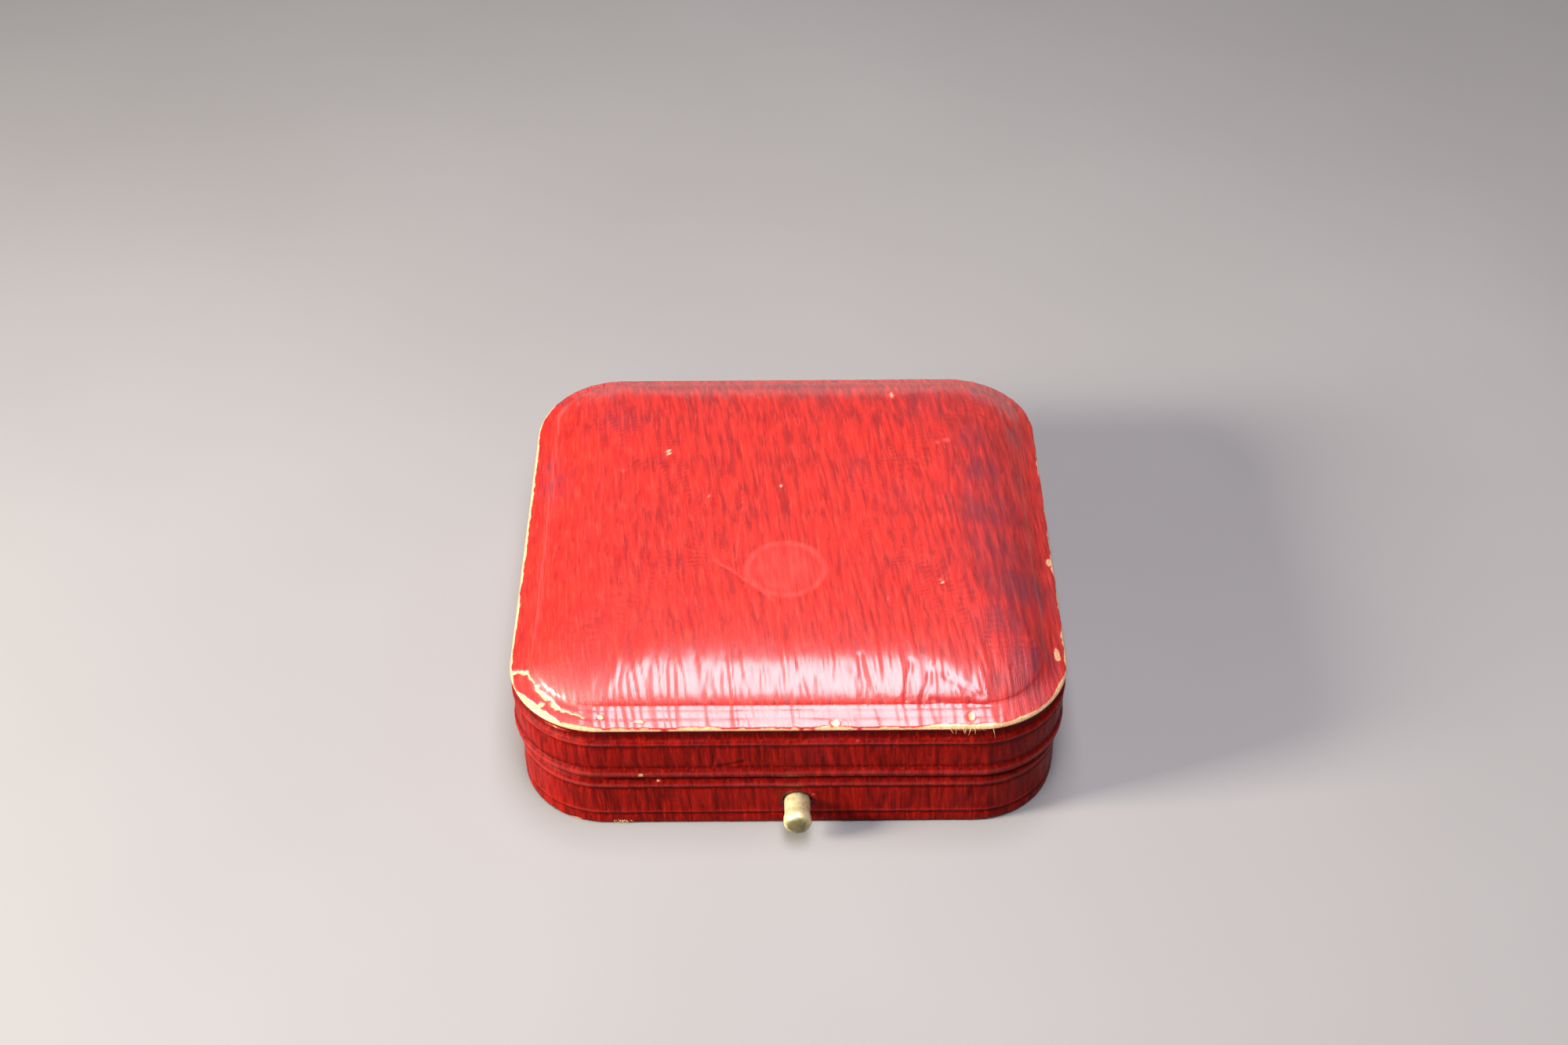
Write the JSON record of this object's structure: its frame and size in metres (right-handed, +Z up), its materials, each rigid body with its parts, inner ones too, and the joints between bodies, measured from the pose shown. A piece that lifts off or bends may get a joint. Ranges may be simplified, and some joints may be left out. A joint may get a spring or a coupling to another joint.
{
  "type": "leather jewellery case",
  "caption": "Small square jewellery case in red grained leather with rounded corners, a domed hinged lid, a push-button catch, a velvet bed and a satin lid pad.",
  "frame": {"origin": "centre of the case's underside, on the surface it stands on", "axes": "+Z up, -Y towards the front wall with the push button, +Y towards the hinge, +X to the right as seen from the front"},
  "size_m": [0.07, 0.0722, 0.0234],
  "materials": {
    "red_leather": "glossy straight-grain goatskin, worn pale at the edges",
    "wood": "bare limewood",
    "card": "matte pasteboard",
    "underside_paper": "matte grained paper",
    "collar_cloth": "card covered in ivory cloth",
    "velvet": "ivory silk velvet",
    "satin": "ivory satin",
    "brass": "satin, lightly tarnished",
    "button_metal": "pale, rubbed and spotted",
    "spring_steel": "drawn wire"
  },
  "bodies": {
    "base": {"base_wood_frame": "wood", "base_bottom_board": "card", "base_underside_panel": "underside_paper", "base_side_leather": "red_leather", "base_collar": "collar_cloth", "collar_lining": "velvet", "bed_board": "card", "velvet_bed": "velvet", "latch_housing": "brass", "latch_nail_left": "brass", "latch_nail_right": "brass", "latch_spring": "spring_steel", "hinge_base_leaf": "brass", "hinge_pin": "spring_steel", "hinge_base_nail_left": "brass", "hinge_base_nail_right": "brass"},
    "button": {"push_button": "button_metal", "latch_bolt": "brass"},
    "lid": {"lid_wood_frame": "wood", "lid_top_board": "wood", "lid_dome_core": "card", "lid_top_leather": "red_leather", "lid_side_leather": "red_leather", "lid_wall_lining": "satin", "lid_pad_board": "card", "lid_satin_pad": "satin", "lid_keeper": "brass", "keeper_nail_left": "brass", "keeper_nail_right": "brass", "hinge_lid_leaf": "brass", "hinge_lid_nail_left": "brass", "hinge_lid_nail_right": "brass"}
  },
  "joints": [
    {"name": "lid_hinge", "type": "hinge", "parent": "base", "child": "lid", "pos_m": [0, 0.0337, 0.0091], "axis": [-1, 0, 0], "range_deg": [0, 100]},
    {"name": "button_press", "type": "slide", "parent": "base", "child": "button", "axis": [0, 1, 0], "range_m": [0, 0.0012], "stiffness_N_per_m": 400, "springref_m": -0.0005, "deforming": ["latch_spring"]}
  ]
}
